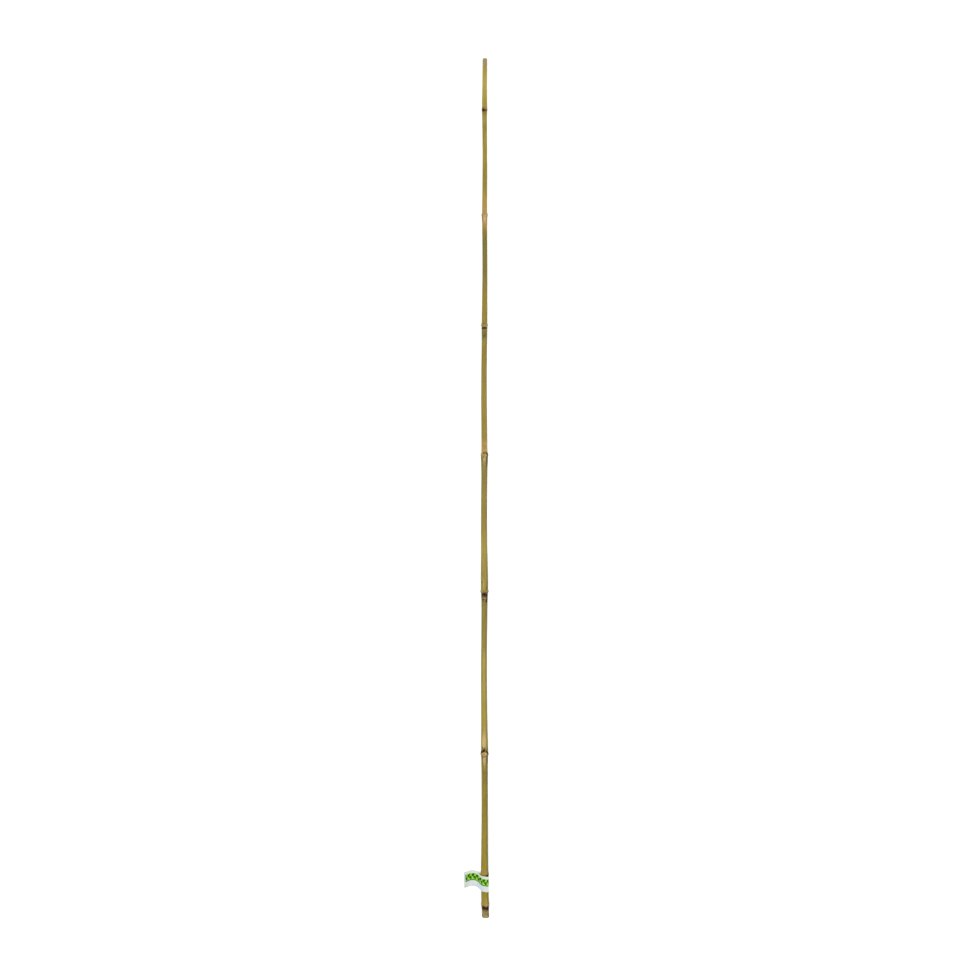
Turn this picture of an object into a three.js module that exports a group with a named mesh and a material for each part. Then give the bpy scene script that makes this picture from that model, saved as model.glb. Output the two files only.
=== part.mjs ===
// A bamboo garden cane lying on the ground: one trimmed culm with eight nodes, and the paper flag label that
// is wrapped round it near the butt. Millimetres, +Z up, +Y from the sawn butt towards the tip.
// Everything is measured in the cane's own terms: "height" runs along the cane from the butt cut, and "turn"
// goes round it from the side that faces up, positive towards +X.

import * as THREE from "three";

const { degToRad, lerp, clamp, smoothstep } = THREE.MathUtils;

// The whole cane.
const LENGTH = 1200;
const BUTT_DIAMETER = 10.0;
const TIP_DIAMETER = 6.4;
// The flag hangs out on one side, so the cane's line is this far from the middle of the whole object.
const LINE_X = 10.9;

// Each node, from the butt up. ridge, below and above are diameters at the swollen ridge and on either side
// of it, scar is how far the sheath scar lies below the ridge, and x and z place the cane's line there.
const NODES = [
  { height: 18.6, below: 10.2, ridge: 12.0, above: 10.8, scar: 2.7, x: 1.0, z: 6.2 },
  { height: 61.0, below: 10.7, ridge: 11.9, above: 10.5, scar: 2.3, x: 0.3, z: 6.15 },
  { height: 228.4, below: 9.5, ridge: 11.4, above: 9.9, scar: 3.6, x: 0.1, z: 6.2 },
  { height: 455.1, below: 9.2, ridge: 11.5, above: 9.9, scar: 3.4, x: 0.0, z: 6.0 },
  { height: 645.8, below: 9.3, ridge: 11.1, above: 8.8, scar: 3.6, x: -0.1, z: 5.75 },
  { height: 826.9, below: 7.9, ridge: 9.7, above: 7.8, scar: 4.0, x: 0.0, z: 5.2 },
  { height: 980.9, below: 7.3, ridge: 9.1, above: 7.2, scar: 3.2, x: 0.2, z: 4.85 },
  { height: 1129.0, below: 7.0, ridge: 8.2, above: 7.2, scar: 2.8, x: 0.1, z: 4.3 },
];
// The internode above each of them: its thinnest diameter, which is reached after the share "fall" of its
// length, and how far its middle bows sideways.
const INTERNODES = [
  { waist: 10.7, fall: 0.5, bow: 0 },
  { waist: 8.9, fall: 0.7, bow: 0.2 },
  { waist: 8.4, fall: 0.4, bow: -0.75 },
  { waist: 8.4, fall: 0.75, bow: -0.6 },
  { waist: 7.6, fall: 0.9, bow: -0.65 },
  { waist: 6.9, fall: 0.8, bow: 0.45 },
  { waist: 6.5, fall: 0.6, bow: 0.4 },
  { waist: TIP_DIAMETER, fall: 1.0, bow: 0 },
];
// The trimmed branch stubs of these nodes face down, and the cane rests on them.
const FEET = [1, 3, 7];
const BUTT_LINE = { x: 1.5, z: 6.3 };
const TIP_LINE = { x: 0.6, z: 4.15 };
// Buds alternate from node to node. These are the ones that face up, and they don't face quite straight up.
const UPPER_BUD_TURNS = [8, -9, 4, -5].map(degToRad);

// The forms at a node.
const RIDGE_RISE = 1.6;
const RIDGE_FADE = 2.6;
const LIP_HEIGHT = 0.26;
const LIP_HALF_WIDTH = 0.55;
const LIP_SLANT = 0.35;
const STUB_HEIGHT = 1.1;
const STUB_HALF_ANGLE = degToRad(20);
const STUB_HALF_LENGTH = 2.4;
const STUB_STANDS = 0.3;
// The groove above a bud starts a little above the ridge and dies out along the internode.
const GROOVE_DEPTH = 0.36;
const GROOVE_HALF_ANGLE = degToRad(26);
const GROOVE_STARTS = [3, 9];
const GROOVE_ENDS_SHARE = [0.3, 0.8];
// A culm is never quite round.
const OVAL_SHARE = 0.012;
const OVAL_TURN = 0.9;

// The sawn ends: each opens on the hollow of its own internode, down to the wall inside the nearest node.
const BUTT_HOLLOW = { radius: 1.9, depth: 16.2 };
const TIP_HOLLOW = { radius: 1.15, depth: 68.5 };
const EDGE_BREAK = 0.3;
const SAW_TILT = 0.03;
// How far the stations of the thickness stand clear of a node, and how long its flare is below it.
const NODE_REACH = 4;
const FLARE_LENGTH = 22;

// The flag label: a strip that goes once round the cane, with its two ends stuck together as a flag.
const LABEL_WIDTH = 21.6;
const LABEL_GAP = 0.22;
const LABEL_SKIN = 0.4;
const FLAG_SKIN = 0.6;
const LABEL_NOMINAL = 5.35;
const LABEL_HEIGHT = 48.0;
const LABEL_TILT = 0.2;
const LABEL_LEAN = 2.0;
const LABEL_RINGS = 8;
const LABEL_SIDES = 24;
const FLAG_SIDES = 11;

const SIDES = 28;

// The culm's line and thickness.

const budTurn = (index) => (index % 2 ? Math.PI : UPPER_BUD_TURNS[index / 2]);

function interpolant(stations, size) {
  const heights = stations.map((s) => s[0]);
  const values = stations.flatMap((s) => s.slice(1));
  return new THREE.CubicInterpolant(heights, values, size, new Float64Array(size));
}

function lineStations() {
  const stations = [[0, BUTT_LINE.x, BUTT_LINE.z]];
  NODES.forEach((node, i) => {
    stations.push([node.height, node.x, node.z]);
    const next = NODES[i + 1];
    const { bow } = INTERNODES[i];
    if (!bow) return;
    const middle = (node.height + next.height) / 2;
    stations.push([middle, (node.x + next.x) / 2 + bow, (node.z + next.z) / 2]);
  });
  stations.push([LENGTH, TIP_LINE.x, TIP_LINE.z]);
  return stations;
}

function thicknessStations() {
  const stations = [[0, BUTT_DIAMETER]];
  NODES.forEach((node, i) => {
    stations.push([node.height - NODE_REACH, node.below], [node.height + NODE_REACH, node.above]);
    const next = NODES[i + 1];
    const { waist, fall } = INTERNODES[i];
    const start = node.height + NODE_REACH;
    const end = next ? next.height - NODE_REACH - FLARE_LENGTH : LENGTH;
    const thinnest = start + fall * (end - start);
    stations.push([lerp(start, thinnest, 0.5), lerp(node.above, waist, 0.72)], [thinnest, waist]);
    if (next) stations.push([end, lerp(waist, next.below, 0.12)]);
  });
  return stations;
}

const line = interpolant(lineStations(), 2);
const thickness = interpolant(thicknessStations(), 1);

function linePoint(height) {
  const [x, z] = line.evaluate(clamp(height, 0, LENGTH));
  return { x, z };
}

const coreRadius = (height) => thickness.evaluate(clamp(height, 0, LENGTH))[0] / 2;

// The culm's skin.

const bell = (offset, half) => Math.exp(-((offset / half) ** 2));
const plateau = (offset, half) => Math.exp(-((offset / half) ** 4));
const turnBetween = (a, b) => Math.atan2(Math.sin(a - b), Math.cos(a - b));

// The swollen ridge, the raised lip that the sheath left, and the flattened groove above a bud.
function nodeRelief(node, index, height, turn) {
  const up = height - node.height;
  const aside = turnBetween(turn, budTurn(index));
  const swell = (node.ridge - (node.below + node.above) / 2) / 2;
  let relief = swell * bell(up, up > 0 ? RIDGE_FADE : RIDGE_RISE);
  relief += LIP_HEIGHT * plateau(up + node.scar - LIP_SLANT * Math.cos(aside), LIP_HALF_WIDTH);
  const above = NODES[index + 1] ? NODES[index + 1].height - node.height : LENGTH - node.height;
  const [dims, ends] = GROOVE_ENDS_SHARE.map((share) => share * above);
  const fades = smoothstep(up, ...GROOVE_STARTS) * (1 - smoothstep(up, dims, ends));
  relief -= GROOVE_DEPTH * fades * bell(aside, GROOVE_HALF_ANGLE) * (node.above / NODES[0].above);
  return relief;
}

// The stub of the trimmed branch, cut flat close to the ridge.
function withStub(node, index, height, turn, radius) {
  const up = height - node.height;
  const aside = turnBetween(turn, budTurn(index));
  const stands = STUB_HEIGHT * plateau(aside, STUB_HALF_ANGLE) * plateau(up, STUB_HALF_LENGTH);
  const cutAt = FEET.includes(index) ? linePoint(height).z : node.ridge / 2 + STUB_STANDS;
  const cut = cutAt / Math.max(Math.cos(aside), 0.2);
  return Math.max(radius, Math.min(radius + stands, cut));
}

function skinRadius(height, turn) {
  let radius = coreRadius(height) * (1 + OVAL_SHARE * Math.cos(2 * (turn - OVAL_TURN)));
  NODES.forEach((node, i) => {
    radius += nodeRelief(node, i, height, turn);
  });
  NODES.forEach((node, i) => {
    const near = Math.abs(height - node.height) < 2 * STUB_HALF_LENGTH;
    if (near) radius = withStub(node, i, height, turn, radius);
  });
  return radius;
}

// The culm as a lathed body.

// Heights of the rings that the skin is drawn through: close together at a node's scar and at its ridge, and
// a few along an internode.
const RINGS_AT_SCAR = [-6, -2.4, -0.9, -0.4, 0, 0.4, 0.9];
const RINGS_AT_RIDGE = [-1.3, -0.6, 0, 0.7, 1.6, 2.8, 5, 9];
const RINGS_AT_BUTT = [EDGE_BREAK, 4, 9];
const RING_SPACING = 36;
const RINGS_CLOSEST = 0.25;

function ringHeights() {
  const heights = [...RINGS_AT_BUTT, LENGTH - EDGE_BREAK];
  NODES.forEach((node, i) => {
    heights.push(...RINGS_AT_SCAR.map((offset) => node.height - node.scar + offset));
    heights.push(...RINGS_AT_RIDGE.map((offset) => node.height + offset));
    const next = NODES[i + 1];
    const start = node.height + RINGS_AT_RIDGE.at(-1);
    const end = next ? next.height - next.scar + RINGS_AT_SCAR[0] : LENGTH - EDGE_BREAK;
    const pieces = Math.max(1, Math.round((end - start) / RING_SPACING));
    for (let k = 1; k < pieces; k++) heights.push(lerp(start, end, k / pieces));
  });
  heights.sort((a, b) => a - b);
  return heights.filter((height, i) => i === 0 || height - heights[i - 1] > RINGS_CLOSEST);
}

// The bud's twist spreads smoothly along the cane between one node and the next.
const twist = interpolant(
  [[-1, budTurn(0)], ...NODES.map((n, i) => [n.height, i % 2 ? 0 : budTurn(i)]), [LENGTH + 1, 0]],
  1,
);

// Draws the ring's corners out to the edges of the flat stubs, which face up and down.
const STUB_SPREAD = 0.67;
const STUB_SPREAD_HALF_ANGLE = degToRad(13);

function spreadAtStubs(turn) {
  const fromStub = Math.atan(Math.tan(turn));
  return turn + STUB_SPREAD * fromStub * bell(fromStub, STUB_SPREAD_HALF_ANGLE);
}

// The profile of the hollow behind one sawn end, from the axis out, with the inner wall's rounded corner.
const HOLLOW_CORNER = [
  { share: 0, back: 0 },
  { share: 0.7, back: 0.3 },
  { share: 1, back: 1.2 },
];

function hollowProfile(hollow, end, inwards) {
  const corner = HOLLOW_CORNER.map(
    ({ share, back }) => new THREE.Vector2(share * hollow.radius, end + inwards * (hollow.depth - back)),
  );
  return [...corner, new THREE.Vector2(hollow.radius, end)];
}

function culmGeometry() {
  const rings = ringHeights();
  const butt = hollowProfile(BUTT_HOLLOW, 0, 1);
  const tip = hollowProfile(TIP_HOLLOW, LENGTH, -1).reverse();
  butt.push(new THREE.Vector2(coreRadius(0) - EDGE_BREAK, 0));
  tip.unshift(new THREE.Vector2(coreRadius(LENGTH) - EDGE_BREAK, LENGTH));
  const skin = rings.map((h) => new THREE.Vector2(coreRadius(h), h));
  const profile = [...butt, ...skin, ...tip];
  const geometry = new THREE.LatheGeometry(profile, SIDES, Math.PI / SIDES);
  const position = geometry.getAttribute("position");
  for (let i = 0; i < position.count; i++) {
    const ring = i % profile.length;
    const onSkin = ring >= butt.length && ring < butt.length + skin.length;
    const height = position.getY(i);
    const lathed = Math.PI / SIDES + (Math.floor(i / profile.length) * 2 * Math.PI) / SIDES;
    const turn = spreadAtStubs(lathed) + twist.evaluate(height)[0];
    const radius = onSkin ? skinRadius(height, turn) : Math.hypot(position.getX(i), position.getZ(i));
    const middle = linePoint(height);
    const x = radius * Math.sin(turn);
    const sawn = height < 1 ? SAW_TILT * x : height > LENGTH - 1 ? -SAW_TILT * x : 0;
    position.setXYZ(i, middle.x + x, height + sawn, middle.z + radius * Math.cos(turn));
  }
  return geometry;
}

// The label.

// The flag's middle line across the cane, from where its two skins meet out to its free end.
const FLAG_LINE = [
  [-8.0, -1.6],
  [-12.2, -3.9],
  [-16.5, -4.9],
  [-20.8, -4.4],
  [-25.0, -2.1],
  [-28.9, 1.4],
];
// The outer faces of the two skins come together a little further along it.
const SKINS_MEET_AT = 0.04;
// Where a tangent from that meeting point leaves the round of the cane, above and below.
const LEAVES_ABOVE = degToRad(144);
const LEAVES_BELOW = degToRad(238);

function labelShape() {
  const flag = new THREE.SplineCurve(FLAG_LINE.map(([x, z]) => new THREE.Vector2(x, z)));
  const side = (share, away) => {
    const tangent = flag.getTangent(share);
    return flag.getPoint(share).add(new THREE.Vector2(tangent.y, -tangent.x).multiplyScalar(away));
  };
  const shares = Array.from({ length: FLAG_SIDES + 1 }, (_, k) => lerp(SKINS_MEET_AT, 1, k / FLAG_SIDES));
  const outer = LABEL_NOMINAL + LABEL_GAP + LABEL_SKIN;
  const inner = LABEL_NOMINAL + LABEL_GAP;
  const corners = shares.map((share) => side(share, FLAG_SKIN / 2)).reverse();
  const below = shares.map((share) => side(share, -FLAG_SKIN / 2));
  const round = (radius) => {
    const sweep = 2 * Math.PI - (LEAVES_BELOW - LEAVES_ABOVE);
    return Array.from({ length: LABEL_SIDES + 1 }, (_, k) => {
      const angle = LEAVES_ABOVE - (sweep * k) / LABEL_SIDES;
      return new THREE.Vector2(radius * Math.cos(angle), radius * Math.sin(angle));
    });
  };
  const shape = new THREE.Shape([...corners, ...round(outer), ...below]);
  // A hole runs round the other way from the outline.
  shape.holes.push(new THREE.Path([...round(inner), new THREE.Vector2(...FLAG_LINE[0])].reverse()));
  return shape;
}

// How far up the cane the middle of the label's width lies, from its own place across the cane: the strip is
// tilted on the cane, and the flag's edges wave.
const wave = interpolant(
  [
    [-28.9, 52.0],
    [-24.5, 52.2],
    [-20.0, 53.2],
    [-16.0, 53.4],
    [-12.0, 52.7],
    [-8.4, 51.0],
    [-5.9, LABEL_HEIGHT + 5.9 * LABEL_TILT],
    [0, LABEL_HEIGHT],
    [6.5, LABEL_HEIGHT - 6.5 * LABEL_TILT],
  ],
  1,
);

// The strip follows the culm's skin up to the first of these distances from its line, and is free of it from
// the second. Paper bridges whatever stands out within a short way of it.
const STRIP_LETS_GO = [6.2, 8.0];
const STRIP_BRIDGES = [-0.7, 0, 0.7];
// Rings lie closer together by the upper edge, which meets the swelling of the node.
const RINGS_GATHER = 1.8;

function labelGeometry() {
  const along = { depth: LABEL_WIDTH, steps: LABEL_RINGS, bevelEnabled: false };
  const geometry = new THREE.ExtrudeGeometry(labelShape(), along);
  geometry.rotateX(Math.PI / 2);
  const position = geometry.getAttribute("position");
  for (let i = 0; i < position.count; i++) {
    const x = position.getX(i);
    const z = position.getZ(i);
    const share = clamp(-position.getY(i) / LABEL_WIDTH, 0, 1) ** RINGS_GATHER;
    const reach = Math.hypot(x, z);
    const onCane = 1 - smoothstep(reach, ...STRIP_LETS_GO);
    const lean = onCane * LABEL_LEAN * clamp(-z / LABEL_NOMINAL, 0, 1);
    const height = wave.evaluate(x)[0] - lean + LABEL_WIDTH / 2 - LABEL_WIDTH * share;
    const turn = Math.atan2(x, z);
    const under = Math.max(...STRIP_BRIDGES.map((near) => skinRadius(height + near, turn)));
    const grown = 1 + (onCane * (under - LABEL_NOMINAL)) / reach;
    const middle = linePoint(height);
    position.setXYZ(i, middle.x + x * grown, height, middle.z + z * grown);
  }
  return geometry;
}

// The object.

const culmSkin = new THREE.MeshStandardMaterial({ color: 0x9a8a48, roughness: 0.55, metalness: 0 });
const labelPaper = new THREE.MeshStandardMaterial({ color: 0xe4e8e4, roughness: 0.5, metalness: 0 });

function piece(name, geometry, material) {
  const mesh = new THREE.Mesh(geometry, material);
  mesh.name = name;
  return mesh;
}

const cane = new THREE.Group();
const parts = new THREE.Group();
parts.add(piece("culm", culmGeometry(), culmSkin), piece("flag_label", labelGeometry(), labelPaper));
parts.position.set(LINE_X, -LENGTH / 2, 0);
cane.add(parts);

export default cane;
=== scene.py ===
import math

import bpy
import numpy as np
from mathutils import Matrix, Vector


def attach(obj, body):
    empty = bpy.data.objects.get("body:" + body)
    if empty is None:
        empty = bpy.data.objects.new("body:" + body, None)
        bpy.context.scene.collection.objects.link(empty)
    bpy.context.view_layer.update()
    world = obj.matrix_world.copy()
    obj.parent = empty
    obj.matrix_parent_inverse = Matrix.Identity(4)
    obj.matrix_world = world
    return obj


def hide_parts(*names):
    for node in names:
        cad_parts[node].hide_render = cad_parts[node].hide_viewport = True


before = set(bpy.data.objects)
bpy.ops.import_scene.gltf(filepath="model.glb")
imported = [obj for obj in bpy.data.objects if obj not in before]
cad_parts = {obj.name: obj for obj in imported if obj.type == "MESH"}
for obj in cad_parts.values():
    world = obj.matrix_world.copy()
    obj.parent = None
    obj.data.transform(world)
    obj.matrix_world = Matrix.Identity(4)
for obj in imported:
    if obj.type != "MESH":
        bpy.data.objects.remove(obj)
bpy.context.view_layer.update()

# The culm: one length of dried bamboo stem, about as thick as a finger, sawn at both ends. It grew as one
# piece, so it is one mesh, drawn ring by ring, and measured in millimetres along the cane ("height", from
# the butt cut) and by the angle round it ("turn", from the side that faces up, positive towards +X).

MM = 0.001
LENGTH = 1200.0
BUTT_DIAMETER = 10.0
TIP_DIAMETER = 6.4
# Each node, from the butt up: its height, the diameters below, at and above its ridge, how far the sheath
# scar lies below the ridge, and where the cane's line passes there.
NODES = [
    dict(height=18.6, below=10.2, ridge=12.0, above=10.8, scar=2.7, x=1.0, z=6.2),
    dict(height=61.0, below=10.7, ridge=11.9, above=10.5, scar=2.3, x=0.3, z=6.15),
    dict(height=228.4, below=9.5, ridge=11.4, above=9.9, scar=3.6, x=0.1, z=6.2),
    dict(height=455.1, below=9.2, ridge=11.5, above=9.9, scar=3.4, x=0.0, z=6.0),
    dict(height=645.8, below=9.3, ridge=11.1, above=8.8, scar=3.6, x=-0.1, z=5.75),
    dict(height=826.9, below=7.9, ridge=9.7, above=7.8, scar=4.0, x=0.0, z=5.2),
    dict(height=980.9, below=7.3, ridge=9.1, above=7.2, scar=3.2, x=0.2, z=4.85),
    dict(height=1129.0, below=7.0, ridge=8.2, above=7.2, scar=2.8, x=0.1, z=4.3),
]
# The internode above each: its waist, the share of its length where it is thinnest, and its sideways bow.
INTERNODES = [
    dict(waist=10.7, fall=0.5, bow=0.0),
    dict(waist=8.9, fall=0.7, bow=0.2),
    dict(waist=8.4, fall=0.4, bow=-0.75),
    dict(waist=8.4, fall=0.75, bow=-0.6),
    dict(waist=7.6, fall=0.9, bow=-0.65),
    dict(waist=6.9, fall=0.8, bow=0.45),
    dict(waist=6.5, fall=0.6, bow=0.4),
    dict(waist=TIP_DIAMETER, fall=1.0, bow=0.0),
]
# The cane lies on the stubs of these nodes, counted from 0. Its buds face up and down by turns.
FEET = (1, 3, 7)
UPPER_BUD_TURNS = [math.radians(a) for a in (8, -9, 4, -5)]
# The cane's line: where its places are counted from across the scene, and where it begins and ends.
LINE_X = 10.9
BUTT_LINE = (1.5, 6.3)
TIP_LINE = (0.6, 4.15)
# How far a node's own shape reaches, how an internode tapers towards its waist, and how it flares again.
NODE_REACH = 4.0
TAPERED_HALF_WAY = 0.72
FLARE_LENGTH = 22.0
FLARE_OPENS = 0.12


class Through:
    """A smooth curve of one or more values through stations, each a place along the cane and its values."""

    def __init__(self, stations):
        table = np.array(stations, float)
        self.at, self.values = table[:, 0], table[:, 1:]

    def __call__(self, height):
        height = np.clip(height, self.at[0], self.at[-1])
        last = len(self.at) - 1
        after = np.clip(np.searchsorted(self.at, height, side="right"), 1, last)
        before = after - 1
        earlier = np.where(after == 1, after, after - 2)
        later = np.where(after == last, before, np.minimum(after + 1, last))
        start, end = self.at[before], self.at[after]
        half = (end - start) / 2
        bend_in = (half / (start - self.at[earlier]))[..., None]
        bend_out = (half / (self.at[later] - end))[..., None]
        p = ((height - start) / (end - start))[..., None]
        square, cube = p**2, p**3
        of_start = (1 + bend_in) * cube - (1.5 + 2 * bend_in) * square + (bend_in - 0.5) * p + 1
        of_end = (-1 - bend_out) * cube + (1.5 + bend_out) * square + 0.5 * p
        return (
            (-bend_in * cube + 2 * bend_in * square - bend_in * p) * self.values[earlier]
            + of_start * self.values[before]
            + of_end * self.values[after]
            + (bend_out * cube - bend_out * square) * self.values[later]
        )


def node_after(index):
    return NODES[index + 1] if index + 1 < len(NODES) else None


def blend_of(a, b, share):
    return a + (b - a) * share


def line_stations():
    """Where the cane's line passes, through every node and bowed between some of them."""
    stations = [(0, *BUTT_LINE)]
    for i, node in enumerate(NODES):
        stations.append((node["height"], node["x"], node["z"]))
        bow = INTERNODES[i]["bow"]
        if bow:
            after = node_after(i)
            middle = [(node[k] + after[k]) / 2 for k in ("height", "x", "z")]
            stations.append((middle[0], middle[1] + bow, middle[2]))
    return stations + [(LENGTH, *TIP_LINE)]


def thickness_stations():
    """The diameters: down to a waist above each node, and out again in a short flare below the next."""
    stations = [(0, BUTT_DIAMETER)]
    for i, node in enumerate(NODES):
        start = node["height"] + NODE_REACH
        stations += [(node["height"] - NODE_REACH, node["below"]), (start, node["above"])]
        after = node_after(i)
        end = after["height"] - NODE_REACH - FLARE_LENGTH if after else LENGTH
        waist = INTERNODES[i]["waist"]
        thinnest = start + INTERNODES[i]["fall"] * (end - start)
        half_way = blend_of(start, thinnest, 0.5)
        stations.append((half_way, blend_of(node["above"], waist, TAPERED_HALF_WAY)))
        stations.append((thinnest, waist))
        if after:
            stations.append((end, blend_of(waist, after["below"], FLARE_OPENS)))
    return stations


line = Through(line_stations())
thickness = Through(thickness_stations())


def core_radius(height):
    return thickness(height)[..., 0] / 2


def line_point(height):
    place = line(height)
    return place[..., 0], place[..., 1]


def bud_turn(index):
    return math.pi if index % 2 else UPPER_BUD_TURNS[index // 2]


def bell(offset, half):
    return np.exp(-((offset / half) ** 2))


def plateau(offset, half):
    return np.exp(-((offset / half) ** 4))


def fade(value, low, high):
    share = np.clip((value - low) / (high - low), 0, 1)
    return share * share * (3 - 2 * share)


def turn_between(a, b):
    return (a - b + math.pi) % (2 * math.pi) - math.pi


# Each seed and each wave begins at a turn of its own, and each further wave is fainter.
SEED_SHIFT = 2.4
WAVE_SHIFT = 1.7
WAVE_LOSS = 0.3


def wobble(turn, seed, waves):
    """A small unevenness round the cane, between -1 and 1, that closes on itself."""
    losses = [1 + WAVE_LOSS * k for k in range(len(waves))]
    swings = [np.sin(n * turn + SEED_SHIFT * seed + WAVE_SHIFT * n) for n in waves]
    return sum(swing / loss for swing, loss in zip(swings, losses)) / sum(1 / loss for loss in losses)


# The ridge of a node, steeper below than above.
RIDGE_RISE = 1.6
RIDGE_FADE = 2.6
RIDGE_UNEVEN = 0.03
RIDGE_WAVES = (3, 5, 8)
# The torn lip of its sheath scar, higher at some nodes than at others.
LIP_HEIGHT = 0.26
LIP_SHARES = (2.0, 1.0, 1.3, 1.0, 1.2, 1.0, 1.0, 1.0)
LIP_HALF_WIDTH = 0.5
LIP_UNEVEN = 0.2
LIP_WAVES = (7, 17, 29)
LIP_SLANT = 0.35
LIP_RAGGED = 0.16
TORN_WAVES = (5, 11, 19, 31)
# Its branch stub, sawn flat: the flat is followed round the stem until the turn's cosine is this small.
STUB_HEIGHT = 1.1
STUB_HALF_ANGLE = math.radians(20)
STUB_HALF_LENGTH = 2.4
STUB_REACH = 2 * STUB_HALF_LENGTH
STUB_STANDS = 0.3
STUB_LEAST_COSINE = 0.2
# The groove up the internode, which opens in millimetres above the ridge and closes in shares of the way.
GROOVE_DEPTH = 0.36
GROOVE_HALF_ANGLE = math.radians(26)
GROOVE_OPENS = (3, 9)
GROOVE_CLOSES = (0.3, 0.8)
# The small side buds, and how far the stem is from round.
SIDE_BUD_TURN = math.radians(37)
SIDE_BUD_HALF_ANGLE = math.radians(8)
SIDE_BUD_HALF_LENGTH = 1.1
SIDE_BUD_BELOW = 0.9
SIDE_BUD_HEIGHT = 0.3
OVAL_SHARE = 0.012
OVAL_TURN = 0.9


def above_scar(index, up, turn):
    """How far each place lies above the torn edge of the node's sheath scar."""
    slant = LIP_SLANT * np.cos(turn_between(turn, bud_turn(index)))
    return up + NODES[index]["scar"] - slant + LIP_RAGGED * wobble(turn, index, TORN_WAVES)


def node_relief(index, height, turn):
    """The swollen ridge, the torn lip of the sheath scar, the two side buds, and the groove above the bud."""
    node = NODES[index]
    up = height - node["height"]
    aside = turn_between(turn, bud_turn(index))
    swell = (node["ridge"] - (node["below"] + node["above"]) / 2) / 2
    uneven = 1 - RIDGE_UNEVEN + RIDGE_UNEVEN * wobble(turn, index, RIDGE_WAVES)
    relief = swell * bell(up, np.where(up > 0, RIDGE_FADE, RIDGE_RISE)) * uneven
    lip = plateau(above_scar(index, up, turn), LIP_HALF_WIDTH)
    uneven = 1 - LIP_UNEVEN + LIP_UNEVEN * wobble(turn, index + 3, LIP_WAVES)
    relief = relief + LIP_HEIGHT * LIP_SHARES[index] * lip * uneven
    for side in (-1, 1):
        bud = bell(aside - side * SIDE_BUD_TURN, SIDE_BUD_HALF_ANGLE)
        relief = relief + SIDE_BUD_HEIGHT * bud * bell(up + SIDE_BUD_BELOW, SIDE_BUD_HALF_LENGTH)
    after = node_after(index)
    room = (after["height"] if after else LENGTH) - node["height"]
    along = fade(up, *GROOVE_OPENS) * (1 - fade(up, *(share * room for share in GROOVE_CLOSES)))
    groove = GROOVE_DEPTH * along * bell(aside, GROOVE_HALF_ANGLE) * node["above"] / NODES[0]["above"]
    return relief - groove


def stub_cut(index, height, turn):
    """How far out the flat saw cut of the branch stub lies."""
    aside = turn_between(turn, bud_turn(index))
    out = line_point(height)[1] if index in FEET else NODES[index]["ridge"] / 2 + STUB_STANDS
    return out / np.maximum(np.cos(aside), STUB_LEAST_COSINE)


def with_stub(index, height, turn, radius):
    """The skin with the node's branch stub standing on it, cut off flat."""
    up = height - NODES[index]["height"]
    aside = turn_between(turn, bud_turn(index))
    stands = STUB_HEIGHT * plateau(aside, STUB_HALF_ANGLE) * plateau(up, STUB_HALF_LENGTH)
    cut = stub_cut(index, height, turn)
    with_it = np.maximum(radius, np.minimum(radius + stands, cut))
    return np.where(np.abs(up) < STUB_REACH, with_it, radius)


def skin_radius(height, turn):
    """How far the skin lies from the cane's line, with all its nodes."""
    uneven = 1 + OVAL_SHARE * np.cos(2 * (turn - OVAL_TURN))
    radius = core_radius(height) * uneven
    for i in range(len(NODES)):
        radius = radius + node_relief(i, height, turn)
    for i in range(len(NODES)):
        radius = with_stub(i, height, turn, radius)
    return radius


# Rings are close together round a node and spread out along an internode.
RING_STEP_AT_NODE = 0.22
RING_STEP_BETWEEN = 6.0
RING_STEP_GROWS = 0.09
FINE_REACH = 4.0
FINE_MIDDLE = -1.5
CULM_SIDES = 80
# Each sawn end: the radius and depth of its hollow, and how far its edge is worn round. The worn edge has a
# ring at each of these angles, and from the last number on it is skin and no longer cut.
BUTT_SAWN = dict(radius=1.9, depth=16.2, edge=1.6)
TIP_SAWN = dict(radius=1.15, depth=68.5, edge=0.6)
EDGE_ANGLES = (12, 30, 48, 60, 75)
EDGE_SKIN_FROM = 50
CUT_RINGS = 9
# The hollow's rounded inner end, by share of its radius and distance from its end, and the rings along it.
HOLLOW_END = ((0.35, 0.05), (0.7, 0.3), (0.92, 0.75), (1.0, 1.2))
HOLLOW_RINGS = (0.66, 0.33, 0.05)
HOLLOW_LIP = 0.06
# How much each cut is out of square, and how far from it that dies away.
SAW_TILT = 0.03
TILT_DIES_AWAY = (1.6, 8)
# The three surfaces, in the order of their materials.
SKIN, CUT, HOLLOW = range(3)


def ring_heights():
    """The heights of the rings of the skin, between the worn edges of its two ends."""
    middles = np.array([n["height"] + FINE_MIDDLE for n in NODES])
    heights = [BUTT_SAWN["edge"]]
    while heights[-1] < LENGTH - TIP_SAWN["edge"]:
        away = np.min(np.abs(middles - heights[-1])) - FINE_REACH
        heights.append(heights[-1] + np.clip(RING_STEP_GROWS * away, RING_STEP_AT_NODE, RING_STEP_BETWEEN))
    return np.array(heights[:-1] + [LENGTH - TIP_SAWN["edge"]])


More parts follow.
